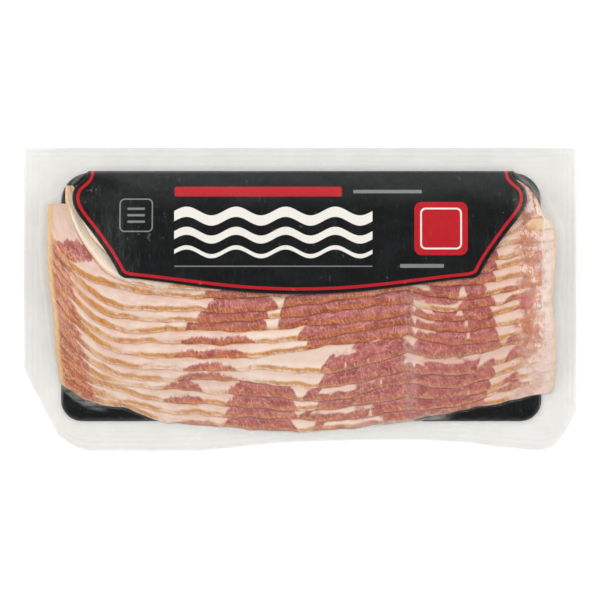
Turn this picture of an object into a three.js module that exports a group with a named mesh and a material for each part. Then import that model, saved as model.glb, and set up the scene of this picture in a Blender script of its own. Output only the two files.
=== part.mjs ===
// A one pound pack of sliced bacon, vacuum sealed in clear film and lying on its back.
//
// The pack is built from the back to the front. A clear film pouch has a flat sealed margin and a skirt
// that rises round the contents. In it lies a card, folded over at the top edge, so that its back carries
// the meat and its shaped front flap is the label. Seventeen slices are shingled up the card: the lowest
// one lies flat, and each one above overlaps it, so only a strip along each lower edge shows.
//
// Frame: millimetres, +X along the slices, +Y towards the card's fold, +Z out of the front of the pack.
// The origin is the middle of the underside.

import * as THREE from "three";
import { mergeVertices } from "three/addons/utils/BufferGeometryUtils.js";

// ---------------------------------------------------------------- driving sizes

const POUCH_LENGTH = 292;
const POUCH_WIDTH = 160;
const BACK_WEB = 0.4; // film under the card
const SEALED_FILM = 0.6; // both webs sealed together in the margin
const CARD = 0.6; // paperboard
const GAP = 0.3; // clearance between touching pieces

const CARD_LEFT = -126.5;
const CARD_RIGHT = 127.8;
const CARD_TOP = 67.4; // the fold
const CARD_BOTTOM = -64.6;
const CARD_CORNER = 11; // lower corners
const CARD_TOP_CORNER = 15;
const SPINE_HEIGHT = 7.4; // from the card's back to the underside of its flap, at the fold

const SLICE_COUNT = 17;
const SLICE_PITCH = 5.94; // how far each slice is set below the one on top of it
const OVERLAP = 6; // a slice's width, in pitches
const SLICE_THICKNESS = 1.75;
const LAYER = 2.45; // what each slice underneath adds to the height
const EDGE_THICKNESS = 0.7; // a slice's smoked lower edge is pressed thin
const EDGE_WIDTH = 2.6; // width of that pressed edge
const LOWEST_EDGE = -66.8; // lower edge of the last slice, where the slices are level
const LEVEL_X = -53; // where the slices run level

const CREASES = [57, 117]; // creases across all slices
const CREASE_DEPTH = 0.1; // share of the stack's height lost in a crease
const END_DROOP = 0.3; // share of the height lost where the film presses the ends down
const DROOP_LENGTH = 16;
const MEAT_LEFT = -133;
const MEAT_RIGHT = 135;

// ---------------------------------------------------------------- small helpers

const clamp = (v, low = 0, high = 1) => Math.min(high, Math.max(low, v));
const mix = (a, b, t) => a + (b - a) * t;
const smooth = (t) => clamp(t) ** 2 * (3 - 2 * clamp(t));
const bell = (v, width) => Math.exp(-((v / width) ** 2));

// ---------------------------------------------------------------- where each slice lies

// Slices are numbered from 1, on top and under the label, to SLICE_COUNT, at the bottom and on the card.
const FULL_END_SLICE = 6; // shows its whole width at the left end
const TUCKED_SLICES = 5; // the slices above it turn up sooner, under the label
const UNDER_FOLD = 65; // as high as a slice lies, inside the card's fold

// How far slice n's left end turns up, above its level stretch. Most rise at a steady slope once bent.
const UPTURN_SLOPE = 1.45;
const UPTURN_AT = -108;
const UPTURN_BEND = 8; // how gently the slope begins
const TUCKED_UPTURN = 86; // rise of the tucked slices at MEAT_LEFT
const TUCKED_FADE = 14.8; // the length over which that rise fades
function leftSweep(n, x) {
  const fading = (rise, length) => rise * Math.exp((MEAT_LEFT - x) / length);
  if (n === FULL_END_SLICE) return fading(28, 27) + fading(15, 4);
  if (n <= TUCKED_SLICES) return fading((1 + 0.08 * (TUCKED_SLICES - n)) * TUCKED_UPTURN, TUCKED_FADE);
  const share = mix(1, 0.8, clamp((n - 11) / 6));
  return share * UPTURN_SLOPE * UPTURN_BEND * Math.log(1 + Math.exp((UPTURN_AT - x) / UPTURN_BEND));
}

// The run of a middle slice right of its level stretch: it climbs to each crease and sags between them.
const RISE_AT_CREASES = [11.6, 13.8]; // above the level stretch
const RISE_AT_END = 17;
function middleRun(x) {
  const [first, second] = CREASES;
  const [low, high] = RISE_AT_CREASES;
  if (x < first) return low * clamp((x - LEVEL_X - 10) / (first - LEVEL_X - 10)) ** 1.25;
  if (x < second) {
    const t = (x - first) / (second - first);
    return mix(low, high, t) - 20 * t * (1 - t) * (1.3 - 0.6 * t);
  }
  const t = (x - second) / (MEAT_RIGHT - second);
  return mix(high, RISE_AT_END, t) - 5 * t * (1 - t);
}

// The run of the last slice, which lies on the card in one long bow.
const BOW = 3.2; // depth below the level stretch
const BOW_RISE = 20.7; // from the bow up to the right end of the card
function lowestRun(x) {
  return x < 0 ? BOW * ((x / LEVEL_X) ** 2 - 1) : BOW_RISE * (x / 130) ** 1.6 - BOW;
}

// At the left the lowest slices are drawn up towards the rest, which bares the card's lower corner.
const DRAWN_UP = 7.9; // of the last slice, at DRAWN_AT
const DRAWN_AT = -96;
const DRAWN_LENGTH = 19;
const drawnUp = (low, x) => DRAWN_UP * low ** 1.6 * bell(x - DRAWN_AT, DRAWN_LENGTH);

// The line that slice n's lower edge follows. Lines above slice 1's go on at the same pitch.
function line(n, x) {
  if (n < 1) return line(1, x) + (1 - n) * SLICE_PITCH;
  const level = LOWEST_EDGE + (SLICE_COUNT - n) * SLICE_PITCH;
  const low = clamp((n - 12) / 5);
  const run = x < LEVEL_X ? drawnUp(low, x) : mix(middleRun(x), lowestRun(x), low);
  return level + run + leftSweep(n, x);
}

// Upper edges, and the height of the stack, follow an even family of lines of one shape. The slices below
// LEVEL_LINE lie level on each other.
const LEVEL_LINE = SLICE_COUNT - OVERLAP;
const evenLine = (n, x) => line(LEVEL_LINE, x) + (LEVEL_LINE - n) * SLICE_PITCH;
const evenLineAt = (x, y) => LEVEL_LINE - (y - line(LEVEL_LINE, x)) / SLICE_PITCH;

// A slice's edge wavers about its line, and the last one, on the card, wavers less.
function waver(n, x) {
  const share = n === SLICE_COUNT ? 0.4 : 1;
  return share * (0.6 * Math.sin(x / 21 + 1.7 * n) + 0.35 * Math.sin(x / 9.5 + 2.9 * n));
}

// How far slice n has slipped up from its line. The slices near the bottom slid down, most of all slice 12,
// which shows a wide face, and those about the ninth slid up a little near the left.
function slip(n, x) {
  const slid = (first) => (n < first ? 0 : 1 - ((n - first) / (SLICE_COUNT - first)) ** 2);
  const down = 8 * slid(12) * bell(x - 18, 36) + 5 * slid(13) * bell(x - 82, 26);
  return 2.6 * bell(n - 8.8, 1.4) * bell(x + 62, 34) - down;
}

const lowerEdge = (n, x) => line(n, x) + waver(n, x) + slip(n, x);

// The highest that slice n may reach: its own end at the left, the card's fold, and a rounded right corner.
const FULL_END_TOP = 50.4;
const END_STAGGER = 2.2; // between one slice's end and the next one's
const TUCKED_END_TOP = 60;
const CORNER_START = 105;
const CORNER_LENGTH = 31;
const CORNER_DROP = 48;
function reach(n, x) {
  const endTop = n > TUCKED_SLICES ? FULL_END_TOP - END_STAGGER * (n - FULL_END_SLICE) : TUCKED_END_TOP;
  const atLeft = mix(endTop, UNDER_FOLD, smooth((x - MEAT_LEFT - 18) / 24));
  const into = clamp((x - CORNER_START) / CORNER_LENGTH);
  return Math.min(atLeft, UNDER_FOLD - CORNER_DROP * (1 - Math.sqrt(1 - into ** 2)));
}

const upperEdge = (n, x) => Math.min(evenLine(n - OVERLAP, x), reach(n, x));

// A slice starts where it is wide enough to hold together.
const LEAST_WIDTH = 7;
const STEP = 0.25;
const wideEnough = (n, x) => upperEdge(n, x) - lowerEdge(n, x) >= LEAST_WIDTH;

function leftEnd(n) {
  const tucked = -124 + 5.5 * (TUCKED_SLICES - n);
  let x = n > TUCKED_SLICES ? mix(MEAT_LEFT, -126.5, clamp((n - 10) / 7)) : tucked;
  while (!wideEnough(n, x)) x += STEP;
  return x;
}

function rightEnd(n) {
  let x = MEAT_RIGHT - 5 * (clamp((n - 11) / 6) + clamp((4 - n) / 4));
  while (!wideEnough(n, x)) x -= STEP;
  return x;
}

// ---------------------------------------------------------------- the height of the stack

// How far the film presses the stack down at both ends.
function pressed(x) {
  const fromLeft = smooth((x - MEAT_LEFT) / DROOP_LENGTH);
  const fromRight = smooth((MEAT_RIGHT - x) / DROOP_LENGTH);
  return (1 - END_DROOP * (1 - fromLeft)) * (1 - END_DROOP * (1 - fromRight));
}

const creased = (x) => 1 - CREASES.reduce((sum, at) => sum + CREASE_DEPTH * bell(x - at, 3), 0);

const CARD_FLOOR = BACK_WEB + GAP;
const MEAT_FLOOR = CARD_FLOOR + CARD + GAP;

// A slice rests on those below it: all of them near the bottom of the card, and higher up only on those
// that reach under it.
function underside(n, x, y) {
  const layers = clamp(OVERLAP - (n - evenLineAt(x, y)), 0, SLICE_COUNT - n);
  return MEAT_FLOOR + LAYER * layers * pressed(x) * creased(x);
}

// Thickness of a slice at a distance from its lower edge.
const thickness = (fromEdge) => mix(EDGE_THICKNESS, SLICE_THICKNESS, clamp(fromEdge / EDGE_WIDTH));

function stackTop(x, y) {
  for (let n = 1; n <= SLICE_COUNT; n++) {
    const covers = y >= lowerEdge(n, x) && y <= upperEdge(n, x);
    if (covers) return underside(n, x, y) + SLICE_THICKNESS * pressed(x);
  }
  return MEAT_FLOOR;
}

// ---------------------------------------------------------------- solids from grids and rings

function solid(vertices, triangles) {
  const geometry = new THREE.BufferGeometry();
  geometry.setAttribute("position", new THREE.Float32BufferAttribute(vertices.flat(), 3));
  geometry.setIndex(triangles.flat());
  const closed = mergeVertices(geometry);
  closed.computeVertexNormals();
  return closed;
}

// A slab between a top and an underside that are both grids of rows by columns of points. Rows run along
// +X and columns along +Y.
function slab(top, under) {
  const rows = top.length;
  const columns = top[0].length;
  const offset = rows * columns;
  const id = (i, j) => i * columns + j;
  const triangles = [];
  const quad = (a, b, c, d) => triangles.push([a, b, c], [a, c, d]);
  for (let i = 0; i + 1 < rows; i++) {
    for (let j = 0; j + 1 < columns; j++) {
      quad(id(i, j), id(i + 1, j), id(i + 1, j + 1), id(i, j + 1));
      quad(offset + id(i, j), offset + id(i, j + 1), offset + id(i + 1, j + 1), offset + id(i + 1, j));
    }
  }
  const rim = [];
  for (let i = 0; i < rows; i++) rim.push(id(i, 0));
  for (let j = 1; j < columns; j++) rim.push(id(rows - 1, j));
  for (let i = rows - 2; i >= 0; i--) rim.push(id(i, columns - 1));
  for (let j = columns - 2; j > 0; j--) rim.push(id(0, j));
  rim.forEach((a, i) => {
    const b = rim[(i + 1) % rim.length];
    quad(offset + a, offset + b, b, a);
  });
  return solid([...top.flat(), ...under.flat()], triangles);
}

// A closed body whose skin passes through rings of equally many points, with a point to close each end.
function rings(loops, firstPoint, lastPoint) {
  const count = loops[0].length;
  const vertices = [firstPoint, ...loops.flat(), lastPoint];
  const id = (ring, i) => 1 + ring * count + (i % count);
  const last = vertices.length - 1;
  const triangles = [];
  for (let i = 0; i < count; i++) {
    triangles.push([0, id(0, i), id(0, i + 1)]);
    triangles.push([last, id(loops.length - 1, i + 1), id(loops.length - 1, i)]);
    for (let r = 0; r + 1 < loops.length; r++) {
      triangles.push([id(r, i), id(r + 1, i), id(r + 1, i + 1)]);
      triangles.push([id(r, i), id(r + 1, i + 1), id(r, i + 1)]);
    }
  }
  return solid(vertices, triangles);
}

// ---------------------------------------------------------------- bacon slices

// Stations along the slices: close together where they turn up at the left, and at each crease.
const UPTURN_STATIONS = Array.from({ length: 12 }, (_, i) => MEAT_LEFT + 80 * (i / 12) ** 1.7);
const LEVEL_STATIONS = Array.from({ length: 6 }, (_, i) => LEVEL_X + 19 * i);
const CREASE_STATIONS = CREASES.flatMap((x) => [x - 4, x, x + 4]);
const RIGHT_STATIONS = [75, 90, 102, 127, 131];
const STATIONS = [...UPTURN_STATIONS, ...LEVEL_STATIONS, ...CREASE_STATIONS, ...RIGHT_STATIONS];
STATIONS.sort((a, b) => a - b);
const LEAST_STEP = 1.2;

// Points across a slice: its edges, the end of its pressed edge, where it stops lying level or meets the
// card, and one more between those that are far apart.
function sectionAt(n, x) {
  const low = lowerEdge(n, x);
  const high = upperEdge(n, x);
  const edge = low + Math.min(EDGE_WIDTH, 0.3 * (high - low));
  const part = (share) => mix(edge, high, share);
  if (n > LEVEL_LINE) {
    const bend = clamp(line(LEVEL_LINE, x), part(0.08), part(0.84));
    return [low, edge, bend, mix(bend, high, 0.5), high];
  }
  const bend = clamp(evenLine(n - OVERLAP, x), part(0.5), part(0.92));
  return [low, edge, mix(edge, bend, 0.5), bend, high];
}

function sliceGeometry(n) {
  const left = leftEnd(n);
  const right = rightEnd(n);
  const inside = STATIONS.filter((x) => x > left + LEAST_STEP && x < right - LEAST_STEP);
  const top = [];
  const under = [];
  for (const x of [left, ...inside, right]) {
    const ys = sectionAt(n, x);
    under.push(ys.map((y) => [x, y, underside(n, x, y)]));
    top.push(ys.map((y) => [x, y, underside(n, x, y) + thickness(y - ys[0]) * pressed(x)]));
  }
  return slab(top, under);
}

// ---------------------------------------------------------------- card with its label flap

// The flap's outline, from its left end at the fold, round its waist and along its bowed lower edge. The
// right half mirrors the left half about the flap's middle.
const FLAP_MIDDLE = -0.3;
const FLAP_HALF_AT_FOLD = 112;
const FLAP_HALF = 119.6; // across the two shoulders
const FLAP_LOW_HALF = 92; // between the two lower corners
const SHOULDER_Y = 53.5;
const LOW_CORNER_Y = 10.6;
const LOW_MIDDLE_Y = 2.4;

const LOW_CORNER_RISE = 0.4; // from the end of the bow to the lower corner

function flapOutline() {
  const left = (x) => FLAP_MIDDLE - x;
  const right = (x) => FLAP_MIDDLE + x;
  const cornerFrom = FLAP_LOW_HALF - 4;
  const cornerTo = FLAP_LOW_HALF + 3;
  const bowEnd = LOW_CORNER_Y - LOW_CORNER_RISE;
  const shape = new THREE.Shape();
  shape.moveTo(left(FLAP_HALF_AT_FOLD), CARD_TOP);
  shape.bezierCurveTo(left(111), 62, left(FLAP_HALF), 62, left(FLAP_HALF), SHOULDER_Y);
  shape.bezierCurveTo(left(FLAP_HALF), 46, left(112), 40, left(106), 31);
  shape.bezierCurveTo(left(101), 24, left(98), 20, left(cornerTo), 13.5);
  shape.quadraticCurveTo(left(FLAP_LOW_HALF + 1), LOW_CORNER_Y, left(cornerFrom), bowEnd);
  shape.bezierCurveTo(left(60), 7.5, left(36), LOW_MIDDLE_Y, left(0), LOW_MIDDLE_Y);
  shape.bezierCurveTo(right(36), LOW_MIDDLE_Y, right(60), 7.5, right(cornerFrom), bowEnd);
  shape.quadraticCurveTo(right(FLAP_LOW_HALF + 1), LOW_CORNER_Y, right(cornerTo), 13.5);
  shape.bezierCurveTo(right(98), 20, right(101), 24, right(106), 31);
  shape.bezierCurveTo(right(112), 40, right(FLAP_HALF), 46, right(FLAP_HALF), SHOULDER_Y);
  shape.bezierCurveTo(right(FLAP_HALF), 62, right(111), 62, right(FLAP_HALF_AT_FOLD), CARD_TOP);
  return shape;
}

// Underside of the flap: it rises from the fold and lies on the crests of the slices.
const FLAP_RISE = 29; // how far down the flap it reaches its full height
const FLAP_REST = 2.2; // above the evenly shingled height, to clear the highest crest
const PLATEAU = MEAT_FLOOR + LAYER * (OVERLAP - 1) + SLICE_THICKNESS + FLAP_REST;
const FOLD_UNDERSIDE = CARD_FLOOR + SPINE_HEIGHT;
const FLAP_END_DROOP = 0.25; // share of the rise lost over the slices' ends
function flapUnderside(x, y) {
  const down = clamp((CARD_TOP - y) / FLAP_RISE);
  const rise = (PLATEAU - FOLD_UNDERSIDE) * (1 - (1 - down) ** 1.7);
  const ends = smooth((x - MEAT_LEFT) / DROOP_LENGTH) * smooth((MEAT_RIGHT - x) / DROOP_LENGTH);
  return FOLD_UNDERSIDE + rise * (1 - FLAP_END_DROOP * (1 - ends));
}

// The flap's extent along X at a height y, read off its outline.
function flapSpan(points, y) {
  const crossings = [];
  points.forEach((a, i) => {
    const b = points[(i + 1) % points.length];
    if (a.y !== b.y && y >= Math.min(a.y, b.y) && y <= Math.max(a.y, b.y)) {
      crossings.push(a.x + ((y - a.y) / (b.y - a.y)) * (b.x - a.x));
    }
  });
  return [Math.min(...crossings), Math.max(...crossings)];
}

const CORNER_STEPS = 5;
const CARD_COLUMNS = 22;
const FLAP_ROWS = [0.02, 0.1, 0.22, 0.36, 0.52, 0.68, 0.82, 0.93, 1]; // shares of the way down the flap

// One row across the card. The outer points are on its outside, which is the back of the panel and the
// front of the flap, and the inner points are on the side towards the meat.
function cardRow(from, to, outerAt, innerAt) {
  const xs = Array.from({ length: CARD_COLUMNS + 1 }, (_, i) => mix(from, to, i / CARD_COLUMNS));
  return { outer: xs.map(outerAt), inner: xs.map(innerAt) };
}

// Rows up the back panel, which narrow round its lower and its upper corners.
function panelRows() {
  const panelRow = (inset, y) => {
    const at = (z) => (x) => [x, y, z];
    return cardRow(CARD_LEFT + inset, CARD_RIGHT - inset, at(CARD_FLOOR), at(CARD_FLOOR + CARD));
  };
  const turns = Array.from({ length: CORNER_STEPS + 1 }, (_, i) => (Math.PI / 2) * (i / CORNER_STEPS));
  const short = (radius, share) => radius * (1 - share);
  const lower = turns.map((a) => {
    return panelRow(short(CARD_CORNER, Math.sin(a)), CARD_BOTTOM + short(CARD_CORNER, Math.cos(a)));
  });
  const upper = turns.slice(0, CORNER_STEPS).map((a) => {
    const y = CARD_TOP - CARD - short(CARD_TOP_CORNER, Math.sin(a));
    return panelRow(short(CARD_TOP_CORNER, Math.cos(a)), y);
  });
  return [...lower, ...upper];
}

// The fold: a row at the foot of the spine and a row at its head.
function foldRows() {
  const from = CARD_LEFT + CARD_TOP_CORNER;
  const to = CARD_RIGHT - CARD_TOP_CORNER;
  const outerFoot = (x) => [x, CARD_TOP, CARD_FLOOR];
  const innerFoot = (x) => [x, CARD_TOP - CARD, CARD_FLOOR + CARD];
  const outerHead = (x) => [x, CARD_TOP, flapUnderside(x, CARD_TOP) + CARD];
  const innerHead = (x) => [x, CARD_TOP - CARD, flapUnderside(x, CARD_TOP)];
  return [cardRow(from, to, outerFoot, innerFoot), cardRow(from, to, outerHead, innerHead)];
}

// Rows down the flap, which bow more and more towards its lower edge.
function flapRows() {
  const outline = flapOutline().getPoints(10);
  const lowest = LOW_CORNER_Y + 0.3;
  return FLAP_ROWS.map((t) => {
    const level = mix(CARD_TOP - 1.5, lowest, t);
    const [from, to] = flapSpan(outline, level);
    const depth = (lowest - LOW_MIDDLE_Y) * t ** 3;
    const y = (x) => level - depth * Math.max(0, 1 - ((x - FLAP_MIDDLE) / ((to - from) / 2)) ** 2);
    const at = (thickness) => (x) => [x, y(x), flapUnderside(x, y(x)) + thickness];
    return cardRow(from, to, at(CARD), at(0));
  });
}

// One strip of card: up the back panel from its rounded lower corners to the fold, up the spine, and down
// the front flap to its bowed lower edge.
function cardGeometry() {
  const rows = [...panelRows(), ...foldRows(), ...flapRows()];
  return slab(rows.map((row) => row.outer), rows.map((row) => row.inner));
}

// ---------------------------------------------------------------- film pouch

function pouchOutline() {
  const x = POUCH_LENGTH / 2;
  const y = POUCH_WIDTH / 2;
  const shape = new THREE.Shape();
  shape.moveTo(-x + 1.6, y);
  shape.quadraticCurveTo(-x, y, -x, y - 1.6);
  shape.lineTo(-x, -36);
  shape.quadraticCurveTo(-x, -39, -x + 1.6, -42);
  shape.lineTo(-128, -72);
  shape.quadraticCurveTo(-122.5, -y, -111, -y);
  shape.lineTo(-55, -y);
  shape.bezierCurveTo(-20, -y, 5, -74.2, 42, -74.2);
  shape.bezierCurveTo(75, -74.2, 100, -78.5, 122, -79.9);
  shape.quadraticCurveTo(131, -80, 136, -76);
  shape.quadraticCurveTo(140, -72.5, 142.5, -66);
  shape.lineTo(x, -58);
  shape.lineTo(x, y - 1.6);
  shape.quadraticCurveTo(x, y, x - 1.6, y);
  return shape;
}

// Round everything in the pouch: along the fold, round the slices' ends and along the lowest slice.
function contentsOutline() {
  const shape = new THREE.Shape();
  shape.moveTo(-115, CARD_TOP + 0.4);
  shape.bezierCurveTo(-124, 67, -127, 61, -130, 55);
  shape.bezierCurveTo(-133, 52, -135.2, 48, -134.6, 20);
  shape.bezierCurveTo(-134, -20, -127.5, -35, -127.2, -52);
  shape.quadraticCurveTo(-126.6, -65.4, -114, -65.4);
  shape.bezierCurveTo(-70, -66.5, -45, -71.5, 4, -71.8);
  shape.bezierCurveTo(45, -71.5, 60, -65.8, 116, -65.6);
  shape.quadraticCurveTo(128.6, -65.4, 129, -54);
  shape.bezierCurveTo(135.5, -48, 136.6, -30, 136.6, 0);
  shape.bezierCurveTo(136.6, 35, 134, 46, 128.6, 52);
  shape.quadraticCurveTo(127, CARD_TOP + 0.2, 113, CARD_TOP + 0.4);
  return shape;
}

const RING_POINTS = 132;
const SKIRT_FOOT = 4.5; // how far out the film meets the margin
const SKIRT_WALL = 0.6;
const CLEARANCE = 0.8; // round the contents, which the faceted wall cuts into by half of it at most
const MARGIN_LIFT = 2.2; // how far the loose corners of the margin stand off the table
const SKIRT_SHARE = 0.86; // of the height of the contents beside it

// Points round an outline moved outwards by a distance.
function around(outline, outwards) {
  const points = outline.getSpacedPoints(RING_POINTS).slice(0, RING_POINTS);
  return points.map((p, i) => {
    const before = points[(i + RING_POINTS - 1) % RING_POINTS];
    const after = points[(i + 1) % RING_POINTS];
    const along = new THREE.Vector2().subVectors(after, before).normalize();
    return new THREE.Vector2(p.x + outwards * along.y, p.y - outwards * along.x);
  });
}

// Height of the skirt beside the contents, from the stack or the card a little way inside the outline.
const INWARDS = 6;
const LEAST_SKIRT = 2;
function skirtHeight(p) {
  const inside = new THREE.Vector2(p.x, p.y).multiplyScalar(1 - INWARDS / p.length());
  const stack = stackTop(inside.x, inside.y);
  const spine = FOLD_UNDERSIDE * smooth((p.y - CARD_TOP + 4) / 3) * smooth((118 - Math.abs(p.x)) / 6);
  return Math.max(LEAST_SKIRT, SKIRT_SHARE * Math.max(stack, spine));
}

// Each height evened out with the two on either side of it.
function eased(heights) {
  return heights.map((_, i) => {
    const nearby = [-2, -1, 0, 1, 2].map((d) => heights[(i + d + heights.length) % heights.length]);
    return nearby.reduce((sum, h) => sum + h, 0) / nearby.length;
  });
}

function filmGeometry() {
  const contents = contentsOutline();
  const edge = around(pouchOutline(), 0);
  const foot = around(contents, SKIRT_FOOT);
  const crest = around(contents, CLEARANCE + SKIRT_WALL);
  const wall = around(contents, CLEARANCE);
  const lift = (p) => MARGIN_LIFT * smooth((Math.abs(p.x) - 120) / 26) * smooth((Math.abs(p.y) - 30) / 50);
  const at = (loop, z) => loop.map((p, i) => [p.x, p.y, z(p, i)]);
  const heights = eased(crest.map(skirtHeight));
  const loops = [
    at(wall, () => BACK_WEB),
    at(wall, (p, i) => heights[i]),
    at(crest, (p, i) => heights[i]),
    at(foot, () => SEALED_FILM),
    at(edge, (p) => lift(p) + SEALED_FILM),
    at(edge, lift),
    at(foot, () => 0),
  ];
  return rings(loops, [0, 0, BACK_WEB], [0, 0, 0]);
}

// ---------------------------------------------------------------- materials and the finished pack

const clearFilm = new THREE.MeshStandardMaterial({
  color: 0xe7e6e0,
  roughness: 0.15,
  metalness: 0,
  transparent: true,
  opacity: 0.35,
});
const blackCard = new THREE.MeshStandardMaterial({ color: 0x17191a, roughness: 0.45, metalness: 0 });
const bacon = new THREE.MeshStandardMaterial({ color: 0xcf9a85, roughness: 0.4, metalness: 0 });

function piece(name, geometry, material) {
  const mesh = new THREE.Mesh(geometry, material);
  mesh.name = name;
  return mesh;
}

const pack = new THREE.Group();
pack.add(piece("film_pouch", filmGeometry(), clearFilm));
pack.add(piece("label_card", cardGeometry(), blackCard));
for (let n = 1; n <= SLICE_COUNT; n++) {
  pack.add(piece(`bacon_slice_${String(n).padStart(2, "0")}`, sliceGeometry(n), bacon));
}

export default pack;
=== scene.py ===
"""The looks of a vacuum sealed pack of sliced bacon: fine slices, a printed card and a clear film bag.

The pieces lie where the solids do, by the same laws. Sizes are in millimetres: +X along the slices, +Y
towards the card's fold, +Z out of the front. Slices are numbered from 1, on top and under the label, to
SLICE_COUNT, at the bottom and on the card.
"""
from types import SimpleNamespace

import bpy
import numpy as np
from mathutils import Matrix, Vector
from mathutils.bvhtree import BVHTree


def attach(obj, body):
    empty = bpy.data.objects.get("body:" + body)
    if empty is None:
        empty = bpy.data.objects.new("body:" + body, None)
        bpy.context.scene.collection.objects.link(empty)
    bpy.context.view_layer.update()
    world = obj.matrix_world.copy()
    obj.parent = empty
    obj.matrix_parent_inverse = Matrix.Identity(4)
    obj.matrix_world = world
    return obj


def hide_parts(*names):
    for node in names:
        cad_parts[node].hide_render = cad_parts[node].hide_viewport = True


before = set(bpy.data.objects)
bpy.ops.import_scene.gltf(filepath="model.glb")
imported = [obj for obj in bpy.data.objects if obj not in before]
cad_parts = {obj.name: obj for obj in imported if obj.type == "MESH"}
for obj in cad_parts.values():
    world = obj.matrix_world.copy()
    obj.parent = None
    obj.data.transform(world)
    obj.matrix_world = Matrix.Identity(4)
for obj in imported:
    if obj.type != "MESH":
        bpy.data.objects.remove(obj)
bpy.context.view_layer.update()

MM = 0.001

# ------ sizes shared with the solids

POUCH_LENGTH = 292
POUCH_WIDTH = 160
BACK_WEB = 0.4  # film under the card
GAP = 0.3  # clearance between touching pieces
CARD = 0.6  # paperboard
CARD_LEFT, CARD_RIGHT = -126.5, 127.8
CARD_TOP, CARD_BOTTOM = 67.4, -64.6  # the fold, and the edge below
CARD_CORNER, CARD_TOP_CORNER = 11.0, 15.0
SPINE_HEIGHT = 7.4  # up to the underside of the flap, at the fold

SLICE_COUNT = 17
SLICE_PITCH = 5.94  # how far each slice is set below the one on top of it
OVERLAP = 6  # a slice's width, in pitches
LAYER = 2.45  # what each slice underneath adds to the height
LOWEST_EDGE = -66.8  # lower edge of the last slice, where the slices are level
LEVEL_X = -53  # where the slices run level
LEVEL_LINE = SLICE_COUNT - OVERLAP  # the slices below this one lie level on each other
CREASES = (57.0, 117.0)  # creases across all slices
CREASE_DEPTH = 0.1  # share of the stack's height lost in a crease
CREASE_WIDTH = 3
END_DROOP = 0.3  # the same where the film presses the ends down
DROOP_LENGTH = 16
MEAT_LEFT, MEAT_RIGHT = -133.0, 135.0
FULL_END_SLICE = 6  # shows its whole width at the left end
TUCKED_SLICES = 5  # the slices above it turn up sooner, under the label
UNDER_FOLD = 65  # as high as a slice lies, inside the card's fold

CARD_FLOOR = BACK_WEB + GAP
MEAT_FLOOR = CARD_FLOOR + CARD + GAP

# ------ the look's own sizes

SLICE_THICKNESS = 2.15
SOLID_SLICE = 1.75  # a slice's thickness in the solids
EDGE_THICKNESS = 0.12
EDGE_WIDTH = 3.8
EDGE_SETTLE = 0.42  # how far a pressed edge sinks on to the slice below
END_BEND = 10  # over which a slice's end bends to the pile's outline
IRONED_LEFT, IRONED_RIGHT = -114.0, 117.0  # past these the film presses the relief flat
IRONING_LENGTH = 8
SLICE_STEP = 0.6  # along a slice
FILM_STEP = 1
FILM_CLEARANCE = 0.12
BACK_CLEARANCE = 0.02
VACUUM = 0.095  # how hard the film is drawn in, as curvature per mm
DRAWING_STEPS = 160
SEALED_FILM = 0.5
MARGIN_LIFT = 2  # how far the bag's corners curl up


def clamp(v, low=0.0, high=1.0):
    return np.minimum(high, np.maximum(low, v))


def mix(a, b, t):
    return a + (b - a) * t


def smooth(t):
    t = clamp(t)
    return t * t * (3 - 2 * t)


def bell(v, width):
    return np.exp(-((v / width) ** 2))


def follow(path, at):
    """The second value of a path of pairs, where the first value is at."""
    return np.interp(at, *zip(*path))


# ------ where each slice lies

UPTURN_SLOPE = 1.45
UPTURN_AT = -108
UPTURN_BEND = 8  # how gently the slope begins
TUCKED_UPTURN = 86  # rise of the tucked slices at MEAT_LEFT
TUCKED_FADE = 14.8  # the length that rise fades over


def left_sweep(n, x):
    """How far slice n's left end turns up, above its level stretch."""
    def fading(rise, length):
        return rise * np.exp((MEAT_LEFT - x) / length)

    if n == FULL_END_SLICE:
        return fading(28, 27) + fading(15, 4)
    if n <= TUCKED_SLICES:
        return fading((1 + 0.2 * (TUCKED_SLICES - n)) * TUCKED_UPTURN, TUCKED_FADE)
    share = mix(1, 0.8, clamp((n - 11) / 6))
    return share * UPTURN_SLOPE * UPTURN_BEND * np.log1p(np.exp((UPTURN_AT - x) / UPTURN_BEND))


RISE_AT_CREASES = (11.6, 13.8)  # above the level stretch
RISE_AT_END = 17


def middle_run(x):
    """A middle slice right of its level stretch: it climbs to each crease and sags between them."""
    first, second = CREASES
    low, high = RISE_AT_CREASES
    climb = low * clamp((x - LEVEL_X - 10) / (first - LEVEL_X - 10)) ** 1.25
    t = clamp((x - first) / (second - first))
    between = mix(low, high, t) - 20 * t * (1 - t) * (1.3 - 0.6 * t)
    t = (x - second) / (MEAT_RIGHT - second)
    after = mix(high, RISE_AT_END, t) - 5 * t * (1 - t)
    return np.where(x < first, climb, np.where(x < second, between, after))


BOW = 3.2  # depth of the last slice's bow below the level stretch
BOW_RISE = 20.7  # from the bow up to the right end of the card


def lowest_run(x):
    """The last slice, which lies on the card in one long bow."""
    right = -BOW + BOW_RISE * (np.maximum(x, 0) / 130) ** 1.6
    return np.where(x < 0, -BOW + BOW * (x / LEVEL_X) ** 2, right)


DRAWN_UP = 7.9  # of the last slice, at DRAWN_AT
DRAWN_AT = -96
DRAWN_LENGTH = 19


def drawn_up(low, x):
    """At the left the lowest slices are drawn up towards the rest, which bares the card's lower corner."""
    return DRAWN_UP * low**1.6 * bell(x - DRAWN_AT, DRAWN_LENGTH)


def line(n, x):
    """The line that slice n's lower edge follows. Lines above slice 1's go on at the same pitch."""
    if n < 1:
        return line(1, x) + (1 - n) * SLICE_PITCH
    level = LOWEST_EDGE + (SLICE_COUNT - n) * SLICE_PITCH
    low = clamp((n - 12) / 5)
    run = np.where(x < LEVEL_X, drawn_up(low, x), mix(middle_run(x), lowest_run(x), low))
    return level + run + left_sweep(n, x)


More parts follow.
